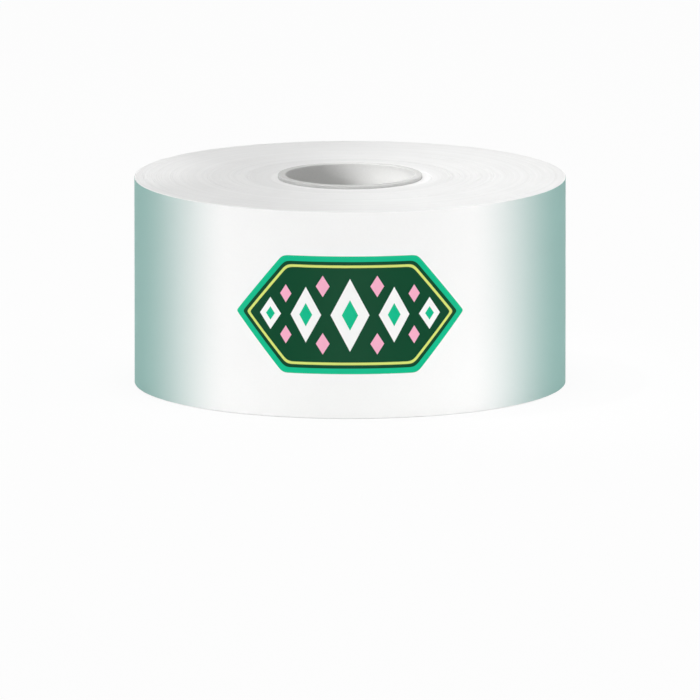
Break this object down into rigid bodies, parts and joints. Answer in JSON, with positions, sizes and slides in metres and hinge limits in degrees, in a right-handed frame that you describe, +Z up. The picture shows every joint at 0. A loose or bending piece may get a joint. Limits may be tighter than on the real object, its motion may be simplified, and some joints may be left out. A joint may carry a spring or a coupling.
{
  "type": "toilet paper roll",
  "caption": "Wide roll of toilet tissue wound on a board core, with a printed paper sheet round its side and open ends.",
  "frame": {"origin": "middle of the end that the roll stands on, on the roll's axis", "axes": "+Z up along the roll's axis, -Y towards the front with the printed emblem, +X to its right"},
  "size_m": [0.2, 0.2, 0.0979],
  "materials": {
    "core_board": "matte",
    "tissue": "matte",
    "wrap": "satin"
  },
  "bodies": {
    "root": {"core_tube": "core_board", "paper_roll": "tissue", "wrapper": "wrap"}
  },
  "joints": []
}
